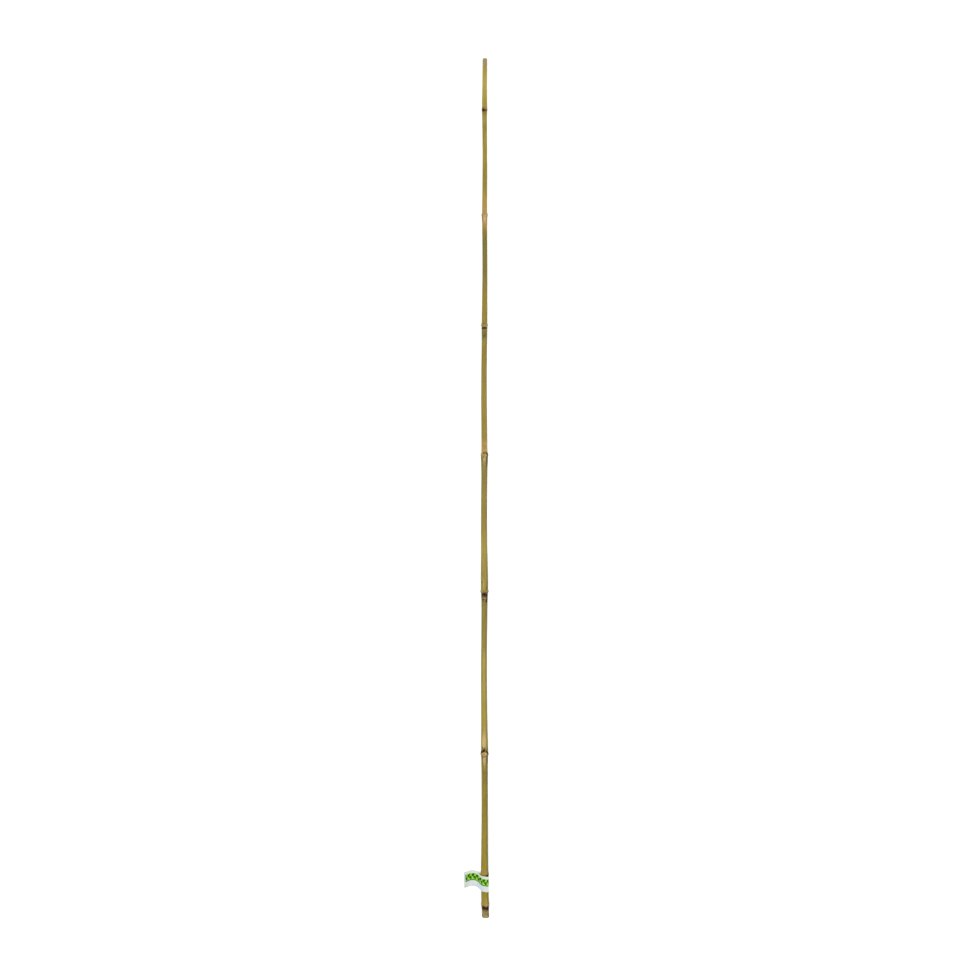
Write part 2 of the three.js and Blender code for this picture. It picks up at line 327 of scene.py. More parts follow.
def end_rings(sawn, end, inwards):
    """Rings from the inner wall, out of the hollow and over the sawn face to its worn edge.

    Each is its height, its radius, or if that isn't above 0 how far it lies inside the skin, and its surface.
    """
    r, depth, edge = sawn["radius"], sawn["depth"], sawn["edge"]
    rings = [(end + inwards * (depth - back), share * r, HOLLOW) for share, back in HOLLOW_END]
    straight = depth - HOLLOW_END[-1][1]
    rings += [(end + inwards * straight * share, r, HOLLOW) for share in HOLLOW_RINGS]
    rim = core_radius(np.array(end)) - edge
    rings += [(end, blend_of(r + HOLLOW_LIP, rim, k / CUT_RINGS), CUT) for k in range(CUT_RINGS + 1)]
    for degrees in EDGE_ANGLES:
        angle = math.radians(degrees)
        back = edge * (1 - math.cos(angle))
        finish = CUT if degrees < EDGE_SKIN_FROM else SKIN
        rings.append((end + inwards * back, -edge * (1 - math.sin(angle)), finish))
    return rings


def put(name, data):
    """A new object in the scene that shows this mesh, light or camera."""
    holder = bpy.data.objects.new(name, data)
    bpy.context.scene.collection.objects.link(holder)
    return holder


def new_piece(name, vertices, faces, materials):
    mesh = bpy.data.meshes.new(name)
    mesh.from_pydata(vertices, [], faces)
    mesh.polygons.foreach_set("use_smooth", [True] * len(mesh.polygons))
    for material in materials:
        mesh.materials.append(material)
    return put(name, mesh)


def loft(name, points, kinds, materials, ends):
    """One closed skin over rings of points, from a point inside its first ring to one inside its last."""
    rings, sides = points.shape[:2]
    vertices = np.concatenate([points.reshape(-1, 3), ends])
    k = np.arange(rings - 1)[:, None] * sides
    j = np.arange(sides)[None, :]
    after = (j + 1) % sides
    quads = np.stack([k + j, k + sides + j, k + sides + after, k + after], -1).reshape(-1, 4)
    first, final = rings * sides, rings * sides + 1
    j, after, top = j[0], after[0], (rings - 1) * sides
    fans = [(first, a, b) for a, b in zip(j, after)] + [(final, top + b, top + a) for a, b in zip(j, after)]
    faces = quads.tolist() + [tuple(map(int, f)) for f in fans]
    piece = new_piece(name, vertices.tolist(), faces, materials)
    slots = np.repeat(np.maximum(kinds[:-1], kinds[1:]), sides).tolist() + [int(kinds[0])] * (2 * sides)
    piece.data.polygons.foreach_set("material_index", slots)
    return piece


def give(piece, name, values):
    """A number at each of the piece's corners, which its finish reads by name."""
    layer = piece.data.attributes.new(name, "FLOAT", "POINT")
    whole = np.zeros(len(piece.data.vertices), np.float32)
    whole[: values.size] = values.ravel()
    layer.data.foreach_set("value", whole)


# The flat map that the finish can be baked through: the skin is folded into columns side by side, with its
# seam underneath. The strip that is left has the two sawn ends, the two hollows and their inner walls.
MAP_NAME = "OFBake"
MAP_COLUMNS = 8
MAP_SKIN_SHARE = 0.93
MAP_GAP = 0.004
MAP_DISC = 0.03
MAP_DISCS_AT = (0.034, 0.102)
MAP_HOLLOWS_AT = ((0.15, 0.3), (0.31, 0.6))
MAP_WALLS_AT = (0.97, 0.65)
MAP_WALL = 0.01


def culm_map(height, turn, radius, kinds):
    """The place of every corner of every face on the flat map, in the order of the faces of the loft."""
    share = np.arange(CULM_SIDES + 1) / CULM_SIDES
    angle = np.append(turn[0], turn[0, 0])
    spare = MAP_SKIN_SHARE + MAP_GAP
    faces = []
    for k in range(len(kinds) - 1):
        kind = max(kinds[k], kinds[k + 1])
        far = int(height[k, 0] > LENGTH / 2)
        column = min(int(height[k, 0] / LENGTH * MAP_COLUMNS), MAP_COLUMNS - 1)
        rows = []
        for ring in (k, k + 1):
            if kind == CUT:
                out = MAP_DISC * radius[ring, 0] / (BUTT_DIAMETER / 2)
                u = spare + MAP_DISC + out * np.sin(angle)
                v = MAP_DISCS_AT[far] + out * np.cos(angle)
            elif kind == HOLLOW:
                low, high = MAP_HOLLOWS_AT[far]
                deep = abs(height[ring, 0] - far * LENGTH) / (BUTT_SAWN, TIP_SAWN)[far]["depth"]
                u = spare + share * (1 - spare - MAP_GAP)
                v = low + (high - low) * deep + 0 * share
            else:
                wide = MAP_SKIN_SHARE / MAP_COLUMNS
                u = column * wide + MAP_GAP + share * (wide - MAP_GAP)
                span = LENGTH / MAP_COLUMNS
                v = (height[ring, 0] - column * span) / (span + 2 * RING_STEP_BETWEEN) + MAP_GAP + 0 * share
            rows.append(np.stack([u, v], -1))
        low, high = rows
        faces.append(np.stack([low[:-1], high[:-1], high[1:], low[1:]], 1))
    wall_face = np.array([[0, 0], [MAP_WALL, 0], [0, MAP_WALL]]) + MAP_WALLS_AT
    walls = np.tile(wall_face, (2 * CULM_SIDES, 1))
    return np.concatenate([np.array(faces).reshape(-1, 2), walls])


def give_map(piece, places):
    layer = piece.data.uv_layers.new(name=MAP_NAME)
    layer.uv.foreach_set("vector", places.astype(np.float32).ravel())


def grid_of_culm():
    """The height, turn and radius of every corner, ring by ring, and which surface each ring belongs to."""
    skin_rings = [(h, 0.0, SKIN) for h in ring_heights()]
    rings = end_rings(BUTT_SAWN, 0.0, 1) + skin_rings + end_rings(TIP_SAWN, LENGTH, -1)[::-1]
    height = np.repeat(np.array([r[0] for r in rings])[:, None], CULM_SIDES, 1)
    turn = np.repeat((math.pi + np.arange(CULM_SIDES) * 2 * math.pi / CULM_SIDES)[None, :], len(rings), 0)
    radius = skin_radius(height, turn)
    for k, (_, given, _) in enumerate(rings):
        radius[k] = radius[k] + given if given <= 0 else given
    return height, turn, radius, np.array([r[2] for r in rings])


def culm_points(height, turn, radius):
    """Where places on the culm are in the scene, in metres, with each end sawn a little out of square."""
    x, z = line_point(height)
    aside = radius * np.sin(turn)
    starts, ends = TILT_DIES_AWAY
    lean = SAW_TILT * aside * (1 - fade(height, starts, ends) - fade(height, LENGTH - ends, LENGTH - starts))
    points = np.stack([LINE_X + x + aside, height + lean - LENGTH / 2, z + radius * np.cos(turn)], -1)
    points[..., 2] = np.maximum(points[..., 2], 0)
    return points * MM


# What the weather, the sheaths and the trimming left on the skin near each node, with a few marks of painted
# shadow and painted highlight noted where they stand: the node, counted from 1, the kind of mark, its place
# above the ridge, its half length, its turn in degrees, its half width in degrees, by how many degrees it
# turns for each millimetre up, and how strong it is. A mark whose half width is ROUND goes all the way round.
ROUND = 1000
MARKS = [
    (1, "burn", -3.9, 2.5, 0, ROUND, 0, 1.0),
    (1, "burn", -3.7, 1.5, 0, ROUND, 0, 1.0),
    (1, "rust", -6.8, 2.0, -8, 40, 0, 0.8),
    (1, "burn", -6.4, 1.2, 46, 22, 0, 0.85),
    (1, "rust", -10.6, 2.4, 26, 24, 0, 0.6),
    (1, "burn", -13.2, 1.8, 54, 20, 0, 0.75),
    (1, "burn", -16.6, 1.4, 56, 24, 0, 0.8),
    (1, "burn", -14.6, 1.6, -56, 16, 0, 0.75),
    (1, "bloom", 0.2, 1.9, 76, 40, 0, 1.0),
    (1, "rust", -7.4, 0.9, 55, 50, 0, 0.6),
    (1, "mottle", -11.5, 7.5, 20, 100, 0, 0.6),
    (1, "light", -14.0, 6.0, -20, 70, 0, 0.4),
    (1, "bloom", -12.0, 6.0, 0, ROUND, 0, 0.6),
    (1, "olive", -10.0, 7.0, 66, 44, 0, 0.7),
    (1, "bloom", -17.4, 2.4, 0, ROUND, 0, 0.8),
    (1, "rust", 0.2, 1.6, 2, 26, 0, 0.75),
    (1, "tan", 6.0, 6.0, 10, 40, 0, 0.4),
    # Painted shadow of the ridge on the cane's right flank, drawn as a scorch.
    (2, "burn", -1.1, 1.8, 50, 36, 0, 1.0),
    (2, "rust", -1.6, 0.8, -60, 40, 0, 0.6),
    (2, "tan", 4.0, 6.0, 8, 44, 0, 0.35),
    (2, "rust", 1.6, 3.0, 6, 40, 0, 0.25),
    # The pale band up the groove above this node: the groove's own wax bloom, and partly a painted highlight
    # where the groove faces the light.
    (3, "pale", 17.0, 11.0, -14, 44, 0, 0.8),
    (3, "pale", 38.0, 26.0, -8, 50, 0, 0.3),
    (3, "light", 40.0, 60.0, -8, 50, 0, 0.4),
    (3, "light", 116.0, 50.0, -8, 48, 0, 0.65),
    (3, "tan", 8.0, 5.0, 10, 60, 0, 0.5),
    (3, "burn", 8.4, 2.6, -32, 12, -4, 1.0),
    (3, "burn", 8.2, 2.3, 3, 10, 5, 0.95),
    (3, "burn", 4.6, 1.6, -22, 30, 4, 1.0),
    (3, "burn", 3.0, 2.4, -60, 24, 6, 1.0),
    (3, "burn", 2.8, 2.8, 44, 20, -9, 1.0),
    (3, "rust", 4.6, 2.8, 0, 80, 0, 0.4),
    (3, "rust", 8.0, 4.0, 54, 28, 0, 0.75),
    (3, "pale", -5.5, 9.5, -2, 30, 0, 0.85),
    (3, "rust", -5.0, 7.0, -46, 12, 1, 0.8),
    (3, "burn", -7.0, 7.5, 49, 14, -1, 0.95),
    (3, "rust", -2.4, 1.7, 10, 24, 14, 0.8),
    (3, "rust", -3.4, 2.0, -20, 18, -12, 0.8),
    (3, "rust", -7.4, 1.6, 12, 12, 10, 0.7),
    (3, "pale", 0.4, 3.6, 0, 70, 0, 0.6),
    (3, "mottle", 1.0, 4.0, 56, 34, 0, 0.9),
    (3, "mottle", -28.0, 14.0, 10, 70, 0, 0.6),
    (3, "pale", -18.0, 9.0, 0, 18, 0, 0.3),
    (4, "burn", -3.4, 2.3, 0, 32, 0, 1.0),
    (4, "burn", -4.6, 1.9, 0, ROUND, 0, 0.7),
    (4, "rust", -3.4, 1.6, 0, ROUND, 0, 0.4),
    (4, "burn", -10.6, 1.8, -26, 18, 0, 0.66),
    (4, "burn", -12.8, 3.0, 40, 16, 0, 0.7),
    (4, "burn", 6.5, 3.4, 38, 12, 0, 0.7),
    (4, "burn", 13.2, 1.6, -30, 10, 0, 0.7),
    (4, "light", 11.0, 8.0, -12, 12, 0, 1.0),
    (4, "olive", -5.0, 5.0, 0, ROUND, 0, 1.0),
    (4, "mottle", -5.0, 6.0, 0, ROUND, 0, 1.0),
    (4, "burn", -8.0, 4.2, -64, 24, 0, 0.55),
    (4, "burn", -10.0, 4.2, 58, 24, 0, 0.75),
    (4, "mottle", -10.0, 7.0, 20, 90, 0, 1.0),
    (4, "rust", -7.4, 1.6, 5, 70, 0, 0.6),
    (4, "pale", -8.9, 1.2, 0, 45, 6, 0.8),
    (4, "pale", -15.4, 1.6, 12, 30, 9, 0.4),
    (4, "burn", -13.4, 1.3, 27, 12, 0, 0.7),
    (4, "bloom", 0.4, 1.8, -70, 40, 0, 1.0),
    (4, "bloom", 0.4, 1.8, 74, 40, 0, 1.0),
    (4, "mottle", 9.0, 6.0, 48, 34, 0, 0.85),
    (4, "rust", 5.0, 1.8, 52, 20, 0, 0.6),
    (4, "olive", -24.0, 14.0, 55, 60, 0, 0.6),
    (4, "light", 60.0, 30.0, 0, ROUND, 0, 0.4),
    (5, "tan", 9.0, 14.0, 0, ROUND, 0, 0.8),
    (5, "light", 9.0, 14.0, 0, ROUND, 0, 0.5),
    (5, "mottle", 14.0, 9.0, 10, 60, 0, 0.6),
    (5, "burn", 2.5, 1.4, -6, 17, 0, 1.0),
    (5, "burn", 2.0, 1.7, 42, 22, -4, 1.0),
    (5, "bloom", -1.0, 4.5, 0, 60, 0, 0.5),
    (5, "bloom", 0.4, 1.6, -70, 30, 0, 0.8),
    (5, "burn", -4.8, 5.0, -62, 17, 0, 0.9),
    (5, "burn", -6.2, 7.4, 58, 24, 0, 1.0),
    (5, "olive", -20.0, 16.0, 60, 50, 0, 0.8),
    (5, "mottle", -12.0, 10.0, 56, 40, 0, 1.0),
    (5, "mottle", -5.0, 5.0, -56, 30, 0, 0.8),
    (5, "burn", -12.6, 3.4, 50, 16, 4, 0.7),
    (5, "pale", -4.6, 6.0, 0, 36, 0, 0.7),
    (5, "rust", -3.0, 1.5, -18, 14, 16, 0.5),
    (5, "rust", -4.0, 1.5, 16, 14, -16, 0.5),
    (5, "pale", -15.0, 8.0, -4, 16, 0, 0.35),
    (5, "olive", -36.0, 20.0, 0, ROUND, 0, 0.4),
    (6, "burn", -4.2, 1.3, -20, 62, 0, 1.0),
    (6, "burn", -3.8, 0.9, 0, ROUND, 0, 0.6),
    (6, "rust", 2.4, 1.2, -10, 34, 5, 0.6),
    (6, "bloom", -0.4, 2.6, 0, ROUND, 0, 0.3),
    (6, "bloom", -0.2, 2.4, 62, 44, 0, 0.6),
    (6, "burn", -12.8, 2.4, 28, 15, 9, 0.62),
    (6, "burn", -15.6, 2.1, 2, 14, -9, 0.58),
    (6, "mottle", -12.0, 9.0, 0, ROUND, 0, 1.0),
    (6, "mottle", -28.0, 12.0, 20, 60, 0, 0.7),
    (6, "green", -13.0, 10.0, 0, ROUND, 0, 0.6),
    (6, "light", -20.0, 16.0, 0, ROUND, 0, 0.4),
    (7, "tan", 12.0, 20.0, 0, ROUND, 0, 0.8),
    (7, "rust", 5.6, 1.8, 0, 50, 0, 0.4),
    (7, "tan", -12.0, 12.0, 0, ROUND, 0, 0.65),
    # A painted highlight on the top of the cane, just below the ridge.
    (7, "pale", -5.0, 5.0, 4, 30, 0, 1.0),
    (7, "pale", 2.0, 16.0, 0, ROUND, 0, 0.3),
    (7, "bloom", -0.4, 1.4, -60, 40, 0, 0.8),
    (7, "bloom", -1.0, 4.0, 70, 44, 0, 0.6),
    (7, "rust", -3.0, 5.0, -72, 26, 0, 0.45),
    (7, "burn", -5.8, 4.8, -60, 14, 0, 0.8),
    (7, "burn", -5.8, 5.2, 62, 13, 0, 0.8),
    (7, "green", -36.0, 18.0, -20, 80, 0, 0.6),
    (7, "olive", -60.0, 44.0, 0, ROUND, 0, 0.8),
    (8, "burn", -1.8, 2.2, -34, 44, 0, 0.86),
    (8, "rust", -1.8, 1.9, 20, 80, 0, 0.8),
    (8, "burn", -2.4, 1.0, 0, ROUND, 0, 0.5),
    (8, "rust", 1.8, 1.3, 10, 70, 0, 0.5),
    (8, "bloom", -0.4, 1.6, 80, 30, 0, 0.8),
    (8, "tan", 3.6, 2.6, 0, 80, 0, 0.5),
    (8, "light", 34.0, 30.0, 0, ROUND, 0, 0.85),
    (8, "green", -13.0, 9.0, 20, 70, 0, 0.3),
    (8, "light", -15.0, 8.0, 0, ROUND, 0, 0.55),
    (8, "light", -50.0, 34.0, 0, ROUND, 0, 0.5),
    (8, "bloom", 66.0, 9.0, 0, ROUND, 0, 0.7),
]
# How deep the colour of each internode is, from the one below the first node to the one above the last.
# It changes over a few millimetres round each node.
DEPTHS = (0.25, 0.3, 0.35, 0.15, 0.3, 0.8, 0.8, 0.2, 0.0)
DEPTH_CHANGES = (-6, 2)
# The marks have uneven outlines and edges as steep as this power makes them.
MARK_KINDS = ("burn", "rust", "mottle", "pale", "tan", "olive", "green", "light", "bloom")
MARK_WAVES = (3, 7, 13)
MARK_UNEVEN = 0.35
MARK_STEEP = 2.4
# The dark line at each scar's torn edge, the scar's own brown and partly painted shade in the crease at its
# lip: how strong it is, how far up it lies, and how wide and even it is.
RIM_STRENGTHS = (0.9, 0.8, 0.5, 0.8, 0.55, 0.9, 0.45, 0.7)
RIM_UP = 0.25
RIM_HALF_WIDTH = 0.42
RIM_UNEVEN = 0.25
RIM_WAVES = (4, 9)


def mark_layer(kind, height, turn):
    """Where the marks of one kind lie, from 0 outside them all to 1."""
    clear = np.ones_like(height)
    for number, its_kind, offset, half, at, wide, slant, strength in MARKS:
        if its_kind == kind:
            up = height - NODES[number - 1]["height"] - offset
            uneven = MARK_UNEVEN * wobble(turn, number + offset, MARK_WAVES)
            aside = np.degrees(turn_between(turn, math.radians(at))) - slant * up
            lengthwise = np.abs((up + uneven) / half) ** MARK_STEEP
            sideways = np.abs(aside / wide) ** MARK_STEEP
            clear *= 1 - strength * np.exp(-lengthwise - sideways)
    return 1 - clear


def scar_line_and_crease_shade(height, turn):
    """The torn edge of the sheath scar, a dark line round each node: the scar's own brown, and partly painted
    shade in the crease at its lip.
    """
    rim = np.zeros_like(height)
    for i, node in enumerate(NODES):
        line_there = bell(above_scar(i, height - node["height"], turn) - RIM_UP, RIM_HALF_WIDTH)
        uneven = 1 - RIM_UNEVEN + RIM_UNEVEN * wobble(turn, i + 5, RIM_WAVES)
        rim = np.maximum(rim, RIM_STRENGTHS[i] * line_there * uneven)
    return rim


# The two end internodes are cut short, so their colour doesn't run through its whole range.
RISE_ABOVE_LAST = 0.25
RISE_BELOW_FIRST = 0.5


def rise_layer(height):
    """How far up its internode each corner lies, from 0 just above a node to 1 at the next."""
    marks = [0.0] + [n["height"] for n in NODES] + [LENGTH]
    rise = np.zeros_like(height)
    for low, high in zip(marks, marks[1:]):
        inside = (height >= low) & (height <= high)
        rise[inside] = ((height - low) / (high - low))[inside]
    rise[height > NODES[-1]["height"]] *= RISE_ABOVE_LAST
    rise[height < NODES[0]["height"]] = RISE_BELOW_FIRST
    return rise


# The flanks, painted darker and greener as shade where the skin turns away from the light, below the fifth
# node and above it: the turn of the lit strip's middle, and how far from it the painted shade starts, in
# degrees.
FLANKS_CHANGE = (560, 700)
LIT_STRIP_MIDDLES = (-14, -7)
FLANK_STARTS = (17, 26)
FLANK_FADE = 50


def flank_shade_layer(height, turn):
    """How much painted shade darkens the skin on either side of the strip that faces up."""
    upper = fade(height, *FLANKS_CHANGE)
    away = np.abs(np.degrees(turn_between(turn, np.radians(blend_of(*LIT_STRIP_MIDDLES, upper)))))
    return fade(away - blend_of(*FLANK_STARTS, upper), 0, FLANK_FADE)


def depth_layer(height):
    """How deep the skin's colour is, from internode to internode."""
    depth = np.full_like(height, DEPTHS[0])
    for node, before, after in zip(NODES, DEPTHS, DEPTHS[1:]):
        depth += (after - before) * fade(height, *(node["height"] + change for change in DEPTH_CHANGES))
    return depth


NEAR_BELOW = 2
NEAR_HALF = 16


def near_layer(height):
    """How near a node each corner is. The small dark specks gather just below the nodes."""
    return np.max([bell(height - n["height"] + NEAR_BELOW, NEAR_HALF) for n in NODES], axis=0)


# A corner is on a stub's cut if it lies this close to the cut and within this angle of the stub's middle. The
# cut is a little longer than wide.
ON_THE_CUT = 0.004
STUB_SIDE = 1.0
STUB_OVAL = 1.25
FAR_FROM_STUB = 9.0


def stub_layers(height, turn, radius):
    """Where the branch stubs are cut flat, and how far from the middle of its cut each corner lies."""
    cut, away = np.zeros_like(height), np.full_like(height, FAR_FROM_STUB)
    for i, node in enumerate(NODES):
        up = height - node["height"]
        aside = turn_between(turn, bud_turn(i))
        flat = (np.abs(up) < STUB_REACH) & (np.abs(radius - stub_cut(i, height, turn)) < ON_THE_CUT)
        cut[flat & (np.abs(aside) < STUB_SIDE)] = 1.0
        reach = np.hypot(up / STUB_OVAL, aside * radius)
        away = np.minimum(away, np.where(np.abs(aside) < STUB_SIDE, reach, FAR_FROM_STUB))
    return cut, away


def srgb(red, green, blue):
    """A colour as a picture editor gives it, from 0 to 255, for a shader's socket."""
    shares = [c / 255 for c in (red, green, blue)]
    return [((c + 0.055) / 1.055) ** 2.4 if c > 0.04045 else c / 12.92 for c in shares] + [1.0]


class Shade:
    """One value inside a finish. A sum written with it adds the nodes that work it out."""

    def __init__(self, finish, socket):
        self.finish, self.socket = finish, socket

    def worked(self, operation, first, second):
        return self.finish.node("Math", {"operation": operation}, {0: first, 1: second})

    def __add__(self, other):
        return self.worked("ADD", self, other)

    def __sub__(self, other):
        return self.worked("SUBTRACT", self, other)

    def __rsub__(self, other):
        return self.worked("SUBTRACT", other, self)

    def __mul__(self, other):
        return self.worked("MULTIPLY", self, other)

    def __abs__(self):
        return self.finish.node("Math", {"operation": "ABSOLUTE"}, {0: self})

    __radd__ = __add__
    __rmul__ = __mul__


class Finish:
    """A material, mixed from shader nodes. Every node in it is made by its method node."""

    def __init__(self, name):
        self.material = bpy.data.materials.new(name)
        self.material.use_nodes = True
        self.tree = self.material.node_tree
        self.tree.nodes.clear()

    def node(self, kind, settings, sockets, out=0):
        made = self.tree.nodes.new("ShaderNode" + kind)
        for key, value in settings.items():
            setattr(made, key, value)
        for key, value in sockets.items():
            if isinstance(value, Shade):
                self.tree.links.new(value.socket, made.inputs[key])
            else:
                made.inputs[key].default_value = value
        return Shade(self, made.outputs[out]) if made.outputs else None

    def given(self, name):
        return self.node("Attribute", {"attribute_name": name}, {}, out="Fac")

    def place(self, x, y, z):
        """The place on the object, in metres, stretched by the three factors."""
        here = self.node("TexCoord", {}, {}, out="Object")
        return self.node("Mapping", {}, {"Vector": here, "Scale": (x, y, z)})

    def noise(self, where, scale, detail=3.0, rough=0.5):
        sockets = {"Vector": where, "Scale": scale, "Detail": detail, "Roughness": rough}
        return self.node("TexNoise", {}, sockets)

    def cells(self, where, scale, uneven):
        """How far each place is from the nearest of many scattered points."""
        sockets = {"Vector": where, "Scale": scale, "Randomness": uneven}
        return self.node("TexVoronoi", {"feature": "F1"}, sockets)

    def larger(self, first, second):
        return self.node("Math", {"operation": "MAXIMUM"}, {0: first, 1: second})

    def between(self, value, low, high, start=0.0, end=1.0):
        """Passes smoothly from start to end as the value goes from low to high."""
        sockets = {"Value": value, "From Min": low, "From Max": high, "To Min": start, "To Max": end}
        return self.node("MapRange", {"interpolation_type": "SMOOTHSTEP"}, sockets)

    def mix(self, share, under, over, how="MIX"):
        settings = {"data_type": "RGBA", "blend_type": how}
        return self.node("Mix", settings, {0: share, 6: under, 7: over}, out=2)

    def bump(self, height, depth, strength=1.0, under=None):
        sockets = {"Height": height, "Distance": depth, "Strength": strength}
        if under:
            sockets["Normal"] = under
        return self.node("Bump", {}, sockets)

    def done(self, sockets):
        shader = self.node("BsdfPrincipled", {}, sockets)
        self.node("OutputMaterial", {}, {"Surface": shader})
        return self.material


# The skin's own colours and the painted shade of its flanks, then those of its marks, and last the wood of
# its sawn stubs.
GOLDEN = srgb(160, 142, 50)
OLIVE = srgb(130, 117, 42)
GREENER = srgb(116, 120, 40)
DEEP = srgb(141, 119, 27)
# The colour of the painted shade on the flanks.
FLANK_SHADE = srgb(100, 100, 50)
STREAK = srgb(184, 162, 88)
FIBRE = srgb(120, 104, 50)
LIGHT = srgb(174, 158, 74)
SHADED = srgb(112, 104, 38)
TAN = srgb(178, 141, 78)
PALE = srgb(200, 172, 118)
RUST = srgb(92, 58, 28)
BURNT = srgb(20, 9, 3)
SCORCHED = srgb(42, 29, 11)
BLOOM = srgb(160, 150, 112)
MOULD = srgb(80, 74, 24)
SPECK = srgb(84, 62, 28)
STUB_WOOD = srgb(172, 142, 90)
STUB_GRAIN = srgb(128, 98, 58)
STUB_PITH = srgb(96, 66, 34)
# The soft marks, in the order in which they lie on the skin: from where to where each shows more and more,
# how much of the skin it covers at most, and its colour.
SOFT_MARKS = [
    ("light", 0.1, 1.0, 1.0, LIGHT),
    ("green", 0.2, 0.9, 0.8, GREENER),
    ("olive", 0.1, 0.9, 0.8, SHADED),
    ("tan", 0.1, 0.95, 0.9, TAN),
    ("pale", 0.12, 0.9, 0.9, PALE),
    ("bloom", 0.1, 0.8, 0.75, BLOOM),
]
SKIN_GRAIN_DEPTH = 0.00006
SKIN_PIT_DEPTH = 0.00022


def culm_skin():
    """Dried skin: fibres and streaks under the wax, the marks of weather, and scars, scorches and stubs."""
    f = Finish("culm_skin")
    # Unevenness of all sizes, drawn out along the cane where the second factor of its place is below 1.
    fibres = f.noise(f.place(1, 0.02, 1), 2600, 4, 0.6)
    streaks = f.noise(f.place(1, 0.01, 1), 640, 3, 0.55)
    blotches = f.noise(f.place(1, 0.16, 1), 260, 4, 0.55)
    drifts = f.noise(f.place(0.4, 0.25, 0.4), 60, 2, 0.5)
    crumbs = f.noise(f.place(1, 1, 1), 2300, 4, 0.6)
    grit = f.noise(f.place(1, 0.45, 1), 1000, 5, 0.65)
    flakes = f.noise(f.place(1, 0.35, 1), 700, 4, 0.6)
    rise = f.given("rise") + (drifts - 0.5) * 0.6
    soft = (blotches - 0.5) * 0.7 + (grit - 0.5) * 0.4
    ragged = (grit - 0.5) * 1.7 + (blotches - 0.5) * 0.7 + (crumbs - 0.5) * 0.7

    # The clean skin of each internode, then the painted shade on its flanks and the soft marks.
    colour = f.mix(f.between(rise, 0.0, 1.05), GOLDEN, OLIVE)
    colour = f.mix(f.between(blotches, 0.48, 0.72) * 0.5, colour, GREENER)
    colour = f.mix(f.between(streaks, 0.35, 0.7) * 0.5, colour, STREAK, "SOFT_LIGHT")
    colour = f.mix(f.given("depth") + (drifts - 0.5) * 0.4, colour, DEEP)
    # Painted shade: the flanks, turned away from the light, are made darker and greener.
    flank_shade = f.between(f.given("side") + (streaks - 0.5) * 1.2, 0.15, 1.0)
    colour = f.mix(flank_shade * 0.65, colour, FLANK_SHADE)
    for kind, starts, full, most, tint in SOFT_MARKS:
        colour = f.mix(f.between(f.given(kind) + soft, starts, full) * most, colour, tint)
    colour = f.mix(f.between(fibres, 0.3, 0.7) * 0.4, colour, FIBRE, "MULTIPLY")

    # Specks of mould and dirt, the brown of the sheath scars with painted shade in the creases at their lips,
    # and the scorched places over all of it.
    mottle = f.between(grit + f.given("mottle") * 0.2, 0.57, 0.75)
    colour = f.mix(mottle * 0.8, colour, MOULD)
    spots = f.cells(f.place(1, 0.55, 1), 420, 1.0)
    thick = f.between(f.noise(f.place(1, 0.3, 1), 140, 2), 0.42, 0.75)
    dots = (1 - f.between(spots, 0.05, 0.19)) * thick
    colour = f.mix(dots * (f.given("near") * 0.5 + 0.35), colour, SPECK)
    # The scar's brown line, partly painted shade in the crease at its lip.
    colour = f.mix(f.between(f.given("rim"), 0.05, 0.5) * 0.45, colour, RUST)
    rust = f.between(f.given("rust") + f.given("burn") * 0.95 + ragged, 0.3, 0.8)
    colour = f.mix(rust * 0.75, colour, RUST)
    rim = f.between(f.given("rim") + ragged * 0.7, 0.4, 0.65)
    scorch = f.between(f.given("burn") + ragged, 0.36, 0.72)
    burn = f.larger(scorch, rim * 0.85) * f.between(flakes, 0.34, 0.52, 0.76, 1.0)
    colour = f.mix(burn, colour, f.mix(f.between(crumbs, 0.42, 0.62), BURNT, SCORCHED))

    # The sawn stubs: dark pith in the middle, wood round it, and torn brown skin at the edge.
    cut = f.given("cut")
    away = f.given("away") + (crumbs - 0.5) * 0.5
    wood = f.mix(f.between(away + ragged * 0.5, 0.15, 0.9), STUB_PITH, STUB_WOOD)
    wood = f.mix(f.between(grit, 0.42, 0.7) * 0.6, wood, STUB_GRAIN)
    colour = f.mix(f.between(away + ragged, 1.7, 2.9) * cut * 0.8, colour, RUST)
    colour = f.mix(cut * (1 - f.between(away + ragged * 0.6, 1.8, 2.7)), colour, wood)

    # What is burnt, torn or sawn is duller and rougher than the waxed skin.
    dull = burn * 0.35 + rust * 0.2 + cut * 0.3 + f.given("bloom") * 0.2
    roughness = f.between(streaks, 0.3, 0.7, 0.38, 0.5) + dull + dots * 0.15
    grain = f.bump(fibres * 0.6 + streaks * 0.4, SKIN_GRAIN_DEPTH, 0.5)
    pitted = crumbs * (burn * 0.9 + cut * 0.6 + 0.06) - dots * 0.25
    pits = f.bump(pitted, SKIN_PIT_DEPTH, 0.8, under=grain)
    return f.done({"Base Color": colour, "Roughness": roughness, "Normal": pits, "Specular IOR Level": 0.25})


SAWN_INNER = srgb(214, 192, 142)
SAWN_OUTER = srgb(158, 141, 98)
BUNDLE = srgb(112, 82, 46)
SAW_GRIME = srgb(128, 108, 76)
SAW_DEPTH = 0.00012


